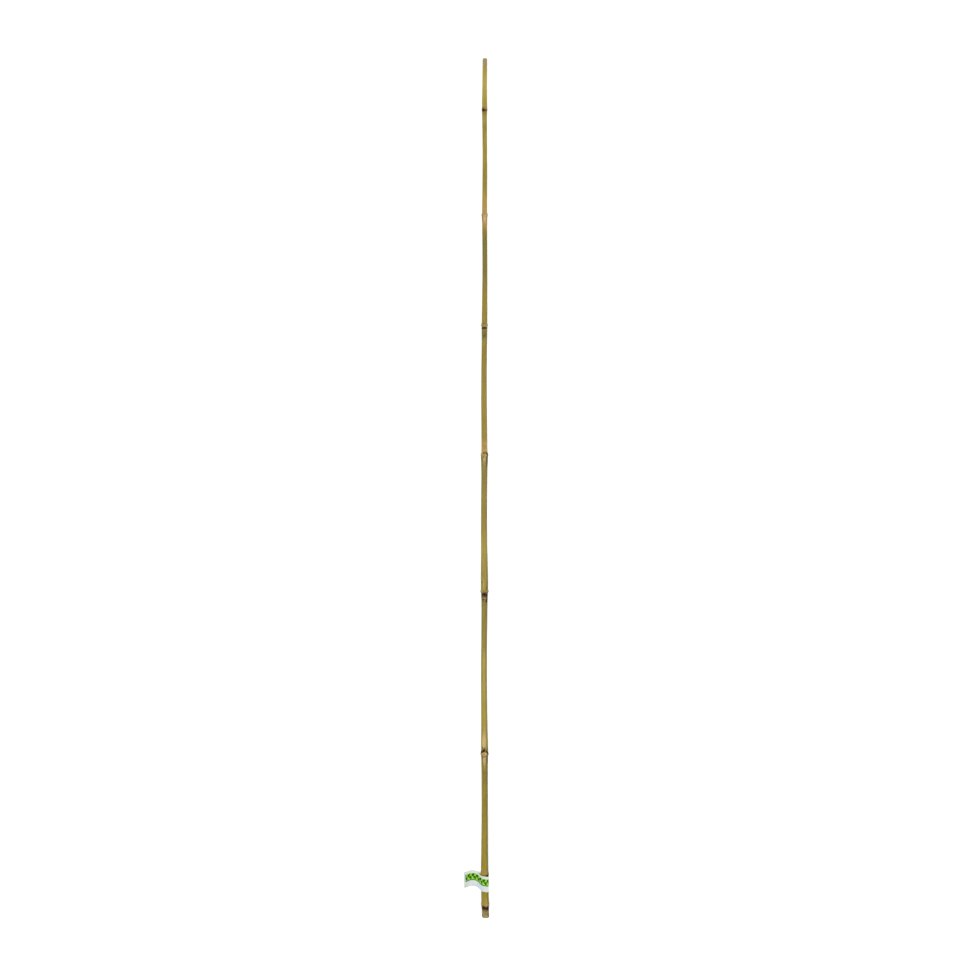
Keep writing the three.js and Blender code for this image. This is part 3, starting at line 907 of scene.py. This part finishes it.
def sawn_wood():
    """End grain: pale wood with the dark dots of its fibre bundles, which show more towards the skin."""
    f = Finish("sawn_wood")
    bundles = f.cells(f.place(1, 0.02, 1), 2100, 0.8)
    out = f.given("out")
    dot = 1 - f.between(bundles, 0.18, 0.42)
    grime = f.noise(f.place(1, 1, 1), 500, 4, 0.6)
    colour = f.mix(f.between(out, 0.2, 1.0), SAWN_INNER, SAWN_OUTER)
    colour = f.mix(dot * f.between(out, 0.0, 0.9, 0.35, 0.9), colour, BUNDLE)
    colour = f.mix(f.between(grime, 0.5, 0.8) * 0.45, colour, SAW_GRIME)
    strokes = {"Vector": f.place(1, 1, 1), "Scale": 900.0, "Distortion": 3.0}
    saw = f.node("TexWave", {"bands_direction": "DIAGONAL"}, strokes)
    rough = f.bump(dot * 0.7 + saw * 0.25 + grime * 0.3, SAW_DEPTH, 0.9)
    return f.done({"Base Color": colour, "Roughness": f.between(grime, 0.3, 0.7, 0.75, 0.9), "Normal": rough})


LINING_DARK = srgb(120, 98, 64)
LINING_PALE = srgb(186, 164, 118)
LINING_DEPTH = 0.0001


def papery_pith():
    """The dry lining of the hollow, in soft lengthwise shreds."""
    f = Finish("papery_pith")
    shreds = f.noise(f.place(1, 0.06, 1), 1500, 4, 0.6)
    colour = f.mix(f.between(shreds, 0.3, 0.7), LINING_DARK, LINING_PALE)
    return f.done({"Base Color": colour, "Roughness": 0.9, "Normal": f.bump(shreds, LINING_DEPTH, 0.8)})


height, turn, radius, kinds = grid_of_culm()
finishes = [culm_skin(), sawn_wood(), papery_pith()]
walls = np.array([BUTT_SAWN["depth"], LENGTH - TIP_SAWN["depth"]])
wall_middles = culm_points(walls, np.zeros(2), np.zeros(2))
culm = loft("culm_skin_mesh", culm_points(height, turn, radius), kinds, finishes, wall_middles)
for kind in MARK_KINDS:
    give(culm, kind, mark_layer(kind, height, turn))
give(culm, "rise", rise_layer(height))
give(culm, "rim", scar_line_and_crease_shade(height, turn))
# How much painted shade each corner on the flanks takes.
give(culm, "side", flank_shade_layer(height, turn))
give(culm, "depth", depth_layer(height))
give(culm, "near", near_layer(height))
flat, away = stub_layers(height, turn, radius)
give(culm, "cut", flat)
give(culm, "away", away)
give(culm, "out", np.clip(radius / core_radius(height), 0, 1))
give_map(culm, culm_map(height, turn, radius, kinds))
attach(culm, "root")
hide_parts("culm")


# The flag label: one strip of coated paper, stuck round the cane and then to itself, so that its two ends
# make a flag. The strip is a little slack where it lets go of the cane, and its back skin isn't laid quite
# level with the front one.

# The label's width, the height of its middle, and how it slopes across the cane and leans down under it.
LABEL_WIDTH = 21.6
LABEL_HEIGHT = 48.0
LABEL_TILT = 0.2
LABEL_LEAN = 2.0
# The strip is laid out round a plain tube of this radius, and then follows the skin that is really there.
TUBE_RADIUS = 5.35
PAPER_THICK = 0.13
PAPER_CLEARS = 0.05
SKINS_APART = 0.02
# The flag's line, from the cane outwards, and the angles at which the strip leaves the cane. The strip lies
# on the skin as far out as the first reach, and is free from the second.
FLAG_LINE = [(-8.0, -1.6), (-12.2, -3.9), (-16.5, -4.9), (-20.8, -4.4), (-25.0, -2.1), (-28.9, 1.4)]
LEAVES_ABOVE = math.radians(144)
LEAVES_BELOW = math.radians(238)
LEAVES_AT_REACH = (6.2, 8.0)
# The height of the strip's middle, by its place across the cane.
WAVE = Through([
    (-28.9, 52.0),
    (-24.5, 52.2),
    (-20.0, 53.2),
    (-16.0, 53.4),
    (-12.0, 52.7),
    (-8.4, 51.0),
    (-5.9, LABEL_HEIGHT + 5.9 * LABEL_TILT),
    (0, LABEL_HEIGHT),
    (6.5, LABEL_HEIGHT - 6.5 * LABEL_TILT),
])
# The back skin lies this far up the cane from the front one, from this share of the strip on.
BACK_SKIN_PROUD = 0.9
BACK_SKIN_FROM = 0.62
CORNER_ROUND = 1.3
# The paper is too stiff to sink into hollows shorter than this, either way along the cane.
BRIDGES = 0.7
# The mesh's points along the strip and across it, the points that draw its line along the flag and round the
# cane, and how many of these are left out where the strip goes slack.
STRIP_STEPS = 190
STRIP_ROWS = 22
FLAG_STEPS = 60
TUBE_STEPS = 70
SLACK_STEPS = 3


def strip_route():
    """The strip's line: in along the front of the flag, over and round the cane, and out behind."""
    stations = [(k, *point) for k, point in enumerate(FLAG_LINE)]
    flag = Through(stations)(np.linspace(0, len(FLAG_LINE) - 1, FLAG_STEPS))
    tangent = np.gradient(flag, axis=0)
    tangent /= np.linalg.norm(tangent, axis=1)[:, None]
    normal = np.stack([tangent[:, 1], -tangent[:, 0]], -1)
    skin = (PAPER_THICK + SKINS_APART) / 2
    front, back = (flag + normal * skin)[::-1], flag - normal * skin
    around = np.linspace(LEAVES_ABOVE, LEAVES_BELOW - 2 * math.pi, TUBE_STEPS)
    on_cane = TUBE_RADIUS + PAPER_CLEARS + PAPER_THICK / 2
    ring = on_cane * np.stack([np.cos(around), np.sin(around)], -1)
    route = np.concatenate([front[:-SLACK_STEPS], ring, back[SLACK_STEPS:]])
    along = np.concatenate([[0], np.cumsum(np.linalg.norm(np.diff(route, axis=0), axis=1))])
    return route, along


def strip_points(across_share, side):
    """One face of the strip, side 1 for the printed one: places, and how far along the strip each lies."""
    route, along = strip_route()
    even = np.linspace(0, along[-1], STRIP_STEPS)
    x, z = (np.interp(even, along, route[:, k]) for k in (0, 1))
    ahead = np.gradient(np.stack([x, z], -1), axis=0)
    ahead /= np.linalg.norm(ahead, axis=1)[:, None]
    x = x - side * PAPER_THICK / 2 * ahead[:, 1]
    z = z + side * PAPER_THICK / 2 * ahead[:, 0]
    reach = np.hypot(x, z)
    on_cane = 1 - fade(reach, *LEAVES_AT_REACH)
    lean = on_cane * LABEL_LEAN * np.clip(-z / TUBE_RADIUS, 0, 1)
    behind = fade(even, BACK_SKIN_FROM * along[-1], along[-1])
    end = np.minimum(even, along[-1] - even)
    short = np.clip(CORNER_ROUND - end, 0, CORNER_ROUND)
    rounded = CORNER_ROUND - np.sqrt(CORNER_ROUND**2 - short**2)
    half = LABEL_WIDTH / 2 - rounded
    middle = WAVE(x)[:, 0] - lean + BACK_SKIN_PROUD * behind
    height = middle[None, :] + half[None, :] * (2 * across_share[:, None] - 1)
    turn = np.arctan2(x, z)[None, :] + 0 * height
    under = np.max([skin_radius(height + near, turn) for near in (-BRIDGES, 0, BRIDGES)], axis=0)
    grown = 1 + on_cane * (under - TUBE_RADIUS) / reach
    line_x, line_z = line_point(height)
    points = np.stack([LINE_X + line_x + x * grown, height - LENGTH / 2, line_z + z * grown], -1)
    return points * MM, even[None, :] + 0 * height, (height - middle[None, :]) + LABEL_WIDTH / 2


# The strip on the flat map: its front in two rows, one for each half, then its back, and its edge on top.
MAP_FRONT_WIDE = 0.97
MAP_FRONT_ROW = 0.37
MAP_FRONT_HIGH = 0.36
MAP_BACK_AT = 0.75
MAP_BACK_HIGH = 0.2
MAP_EDGE_AT = (0.97, 0.99)


def label_strip(material):
    """The strip as one closed sheet: its front, its back and the narrow edge between them."""
    share = np.linspace(0, 1, STRIP_ROWS)
    outer, along, across = strip_points(share, 1)
    inner, _, _ = strip_points(share, -1)
    rows, steps = along.shape
    count = rows * steps
    at = np.arange(count).reshape(rows, steps)
    faces, places = [], []
    for r in range(rows - 1):
        for s in range(steps - 1):
            quad = (at[r, s], at[r, s + 1], at[r + 1, s + 1], at[r + 1, s])
            faces.append(quad)
            faces.append(tuple(count + v for v in reversed(quad)))
            spots = [(r, s), (r, s + 1), (r + 1, s + 1), (r + 1, s)]
            half = int(s >= steps // 2)
            for a, b in spots:
                u = (2 * b / steps - half) * MAP_FRONT_WIDE
                places.append((u, half * MAP_FRONT_ROW + MAP_FRONT_HIGH * a / rows))
            places += [(b / steps, MAP_BACK_AT + MAP_BACK_HIGH * a / rows) for a, b in reversed(spots)]
    rim = [*at[0, :], *at[1:, -1], *at[-1, -2::-1], *at[-2:0:-1, 0]]
    for k, (a, b) in enumerate(zip(rim, rim[1:] + rim[:1])):
        faces.append((b, a, count + a, count + b))
        low, high = k / len(rim), (k + 1) / len(rim)
        front, behind = MAP_EDGE_AT
        places += [(high, front), (low, front), (low, behind), (high, behind)]
    vertices = np.concatenate([outer.reshape(-1, 3), inner.reshape(-1, 3)])
    faces = [tuple(int(v) for v in f) for f in faces]
    piece = new_piece("flag_label_strip", vertices.tolist(), faces, [material])
    give(piece, "along", np.concatenate([along, along]))
    give(piece, "across", np.concatenate([across, across]))
    give(piece, "printed", np.concatenate([np.ones(count), np.zeros(count)]))
    give_map(piece, np.array(places))
    return piece


# The print, measured from the strip's lower edge and from its first end.
BAND_LOW = 9.4
BAND_HIGH = 18.1
BAND_STARTS = 2.6
RULE_THICK = 1.2
PRINT_SOFT = 0.05
# The sprig: its repeat, its stem, and its leaves, each with its place in the repeat and its tilt.
SPRIG_PITCH = 6.2
STEM_EDGE = (0.3, 0.42)
SPRIG_LEAVES = ((2.0, 2.0, 0.6), (4.8, -2.0, -0.6))
LEAF_HALF_LENGTH = 3.0
LEAF_HALF_WIDTH = 1.65
LEAF_EDGE = 0.12
# The flag's curled free corner, where shade is painted on the paper.
SHADED_CORNER_ALONG = 9.0
SHADED_CORNER_ACROSS = 7.0
PAPER_DEPTH = 0.00002
LIME = srgb(130, 192, 40)
LIGHT_LIME = srgb(150, 206, 64)
LEAF_GREEN = srgb(26, 86, 0)
PAPER_WHITE = srgb(204, 212, 203)
PAPER_COOL = srgb(196, 203, 214)
# The colour of the painted shade on the flag's curled corner, and of the grime flecks.
PAPER_SHADE_AND_GRIME = srgb(190, 192, 168)


def leaf(f, p, q, at_p, at_q, tilt):
    """One pointed leaf of the sprig: 1 inside it, 0 outside."""
    p, q = p - at_p, q - at_q
    lengthwise = p * math.cos(tilt) + q * math.sin(tilt)
    sideways = q * math.cos(tilt) - p * math.sin(tilt)
    share = lengthwise * (1 / LEAF_HALF_LENGTH)
    edge = (1 - share * share) * LEAF_HALF_WIDTH
    return f.between(edge - abs(sideways), 0.0, LEAF_EDGE)


def label_paper():
    """Coated white paper, printed with a lime band, a dark rule under it and a running sprig of leaves."""
    f = Finish("label_paper")
    along, across, printed = f.given("along"), f.given("across"), f.given("printed")
    fleck = f.noise(f.place(1, 1, 1), 1800, 3, 0.6)
    cloud = f.noise(f.place(1, 1, 1), 90, 2, 0.5)
    colour = f.mix(f.between(cloud, 0.38, 0.66), PAPER_WHITE, PAPER_COOL)
    # Painted shade on the flag's curled free corner, and grey flecks of grime over all the paper.
    corner_shade_and_flecks = f.between(along, SHADED_CORNER_ALONG, 0.0) * f.between(across, SHADED_CORNER_ACROSS, 0.0)
    corner_shade_and_flecks = corner_shade_and_flecks + f.between(fleck, 0.6, 0.8) * 0.3
    colour = f.mix(corner_shade_and_flecks * 0.8, colour, PAPER_SHADE_AND_GRIME)
    starts = f.between(along, BAND_STARTS - 2 * PRINT_SOFT, BAND_STARTS + 2 * PRINT_SOFT) * printed
    above = f.between(across, BAND_LOW - PRINT_SOFT, BAND_LOW + PRINT_SOFT)
    inside = above * (1 - f.between(across, BAND_HIGH - PRINT_SOFT, BAND_HIGH + PRINT_SOFT)) * starts
    ink = f.mix(f.between(fleck, 0.3, 0.75), LIME, LIGHT_LIME)
    colour = f.mix(inside, colour, ink)
    rule_low = BAND_LOW - RULE_THICK
    rule = f.between(across, rule_low - 2 * PRINT_SOFT, rule_low) * (1 - above) * starts
    colour = f.mix(rule, colour, LEAF_GREEN)
    cell = f.node("Math", {"operation": "WRAP"}, {0: along, 1: SPRIG_PITCH, 2: 0.0})
    up = across - (BAND_LOW + BAND_HIGH) / 2
    sprig = 1 - f.between(abs(up), *STEM_EDGE)
    for at_p, at_q, tilt in SPRIG_LEAVES:
        sprig = f.larger(sprig, leaf(f, cell, up, at_p, at_q, tilt))
    colour = f.mix(sprig * inside, colour, LEAF_GREEN)
    sheen = f.between(fleck, 0.3, 0.7, 0.4, 0.5)
    normal = f.bump(fleck, PAPER_DEPTH, 0.5)
    return f.done({"Base Color": colour, "Roughness": sheen, "Normal": normal, "Specular IOR Level": 0.22})


label = label_strip(label_paper())
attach(label, "root")
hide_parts("flag_label")


# The studio: a plain pale floor that the cane lies on, a soft light overhead and a brighter one on either
# side, and a camera that looks straight down from over the middle of the cane's length, as in the photo.

FLOOR_REACH = 8.0
FLOOR_GLOW = 0.3
FLOOR_TONES = (srgb(250, 250, 249), srgb(252, 252, 251))
GLOW = srgb(255, 255, 255)
AIR = srgb(250, 251, 252)
AIR_STRENGTH = 0.2
SOFT_BOXES = [
    dict(name="overhead", place=(0.0, 0.0, 2.6), size=(1.4, 1.9), watts=26),
    dict(name="left_box", place=(-1.9, 0.0, 1.7), size=(1.1, 2.2), watts=43),
    dict(name="right_box", place=(1.9, 0.0, 1.7), size=(1.1, 2.2), watts=43),
]


def studio_floor():
    f = Finish("studio_floor")
    grain = f.noise(f.place(1, 1, 1), 30, 2, 0.5)
    tone = f.mix(f.between(grain, 0.3, 0.7), *FLOOR_TONES)
    glow = {"Emission Color": GLOW, "Emission Strength": FLOOR_GLOW}
    board = f.done({"Base Color": tone, "Roughness": 0.9, "Specular IOR Level": 0.1, **glow})
    corners = [(FLOOR_REACH * x, FLOOR_REACH * y, 0) for x, y in ((-1, -1), (1, -1), (1, 1), (-1, 1))]
    floor = new_piece("studio_floor", corners, [(0, 1, 2, 3)], [board])


def soft_box(name, place, size, watts):
    """A flat soft light that looks at the middle of the floor."""
    lamp = bpy.data.lights.new(name, "AREA")
    lamp.shape = "RECTANGLE"
    lamp.size, lamp.size_y = size
    lamp.energy = watts
    holder = put(name, lamp)
    holder.location = place
    towards = np.zeros(3) - np.array(place)
    holder.rotation_euler = Vector(towards).to_track_quat("-Z", "Y").to_euler()


def studio():
    studio_floor()
    for box in SOFT_BOXES:
        soft_box(**box)
    world = bpy.data.worlds.new("studio_air")
    world.use_nodes = True
    sky = world.node_tree.nodes["Background"]
    sky.inputs["Color"].default_value = AIR
    sky.inputs["Strength"].default_value = AIR_STRENGTH
    bpy.context.scene.world = world
    bpy.context.scene.view_settings.view_transform = "Standard"


# The cane is this many pixels long in a picture this wide. Its ends are a little nearer to the camera than
# the line that the camera's distance is measured from.
PICTURE = 972
CANE_PIXELS = 859.7
CAMERA_AWAY = 1667 * MM
CAMERA_RIGHT_OF_LINE = 2.1 * MM
CAMERA_UP_CANE = 602.5 * MM
AXIS_ABOVE_FLOOR = 5.7 * MM
ENDS_ABOVE_AXIS = 1.2 * MM
SENSOR = 36.0


def camera():
    eye = bpy.data.cameras.new("camera")
    metres_per_pixel = LENGTH * MM / CANE_PIXELS
    eye.sensor_width = SENSOR
    eye.lens = SENSOR * (CAMERA_AWAY - ENDS_ABOVE_AXIS) / metres_per_pixel / PICTURE
    holder = put("camera", eye)
    middle = CAMERA_UP_CANE - LENGTH * MM / 2
    holder.location = (LINE_X * MM + CAMERA_RIGHT_OF_LINE, middle, AXIS_ABOVE_FLOOR + CAMERA_AWAY)
    bpy.context.scene.camera = holder


studio()
camera()
